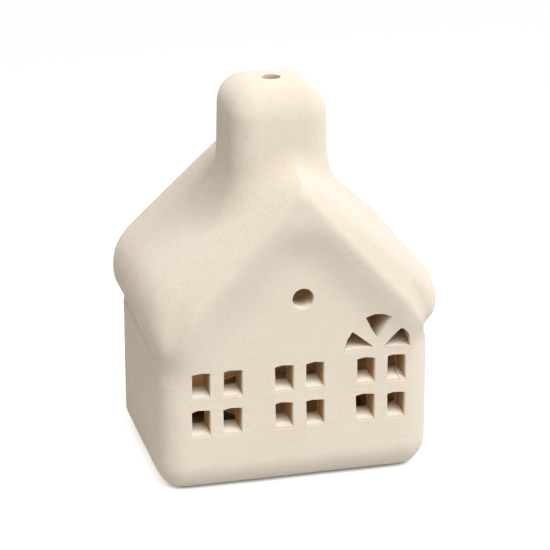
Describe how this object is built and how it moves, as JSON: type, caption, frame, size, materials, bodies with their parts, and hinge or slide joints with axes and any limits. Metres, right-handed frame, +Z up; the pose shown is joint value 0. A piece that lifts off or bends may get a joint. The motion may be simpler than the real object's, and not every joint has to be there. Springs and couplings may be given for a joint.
{
  "type": "tealight house",
  "caption": "Bisque pottery house that stands over a tealight, with cut-out windows, an arched light, rolled roof edges and a vented chimney.",
  "frame": {"origin": "on the table, under the middle of the house's 85 x 70 mm outline", "axes": "+Z up, +X to the right seen from the gable front, -Y towards the viewer: the front wall with the windows faces -Y"},
  "size_m": [0.085, 0.07, 0.12],
  "materials": {
    "bisque": "unglazed, sponged and lightly sanded",
    "cup_aluminium": "drawn, semi-bright",
    "paraffin": "waxy, slightly translucent",
    "sustainer_steel": "tinned",
    "cotton": "braided, waxed"
  },
  "bodies": {
    "tealight": {"tealight_cup": "cup_aluminium"},
    "candle": {"tealight_wax": "paraffin", "wick_sustainer": "sustainer_steel", "wick": "cotton"},
    "house": {"house_shell": "bisque"}
  },
  "joints": [
    {"name": "house_lift", "type": "slide", "parent": "tealight", "child": "house", "axis": [0, 0, 1], "range_m": [0, 0.06]},
    {"name": "candle_lift", "type": "slide", "parent": "tealight", "child": "candle", "axis": [0, 0, 1], "range_m": [0, 0.018]}
  ]
}
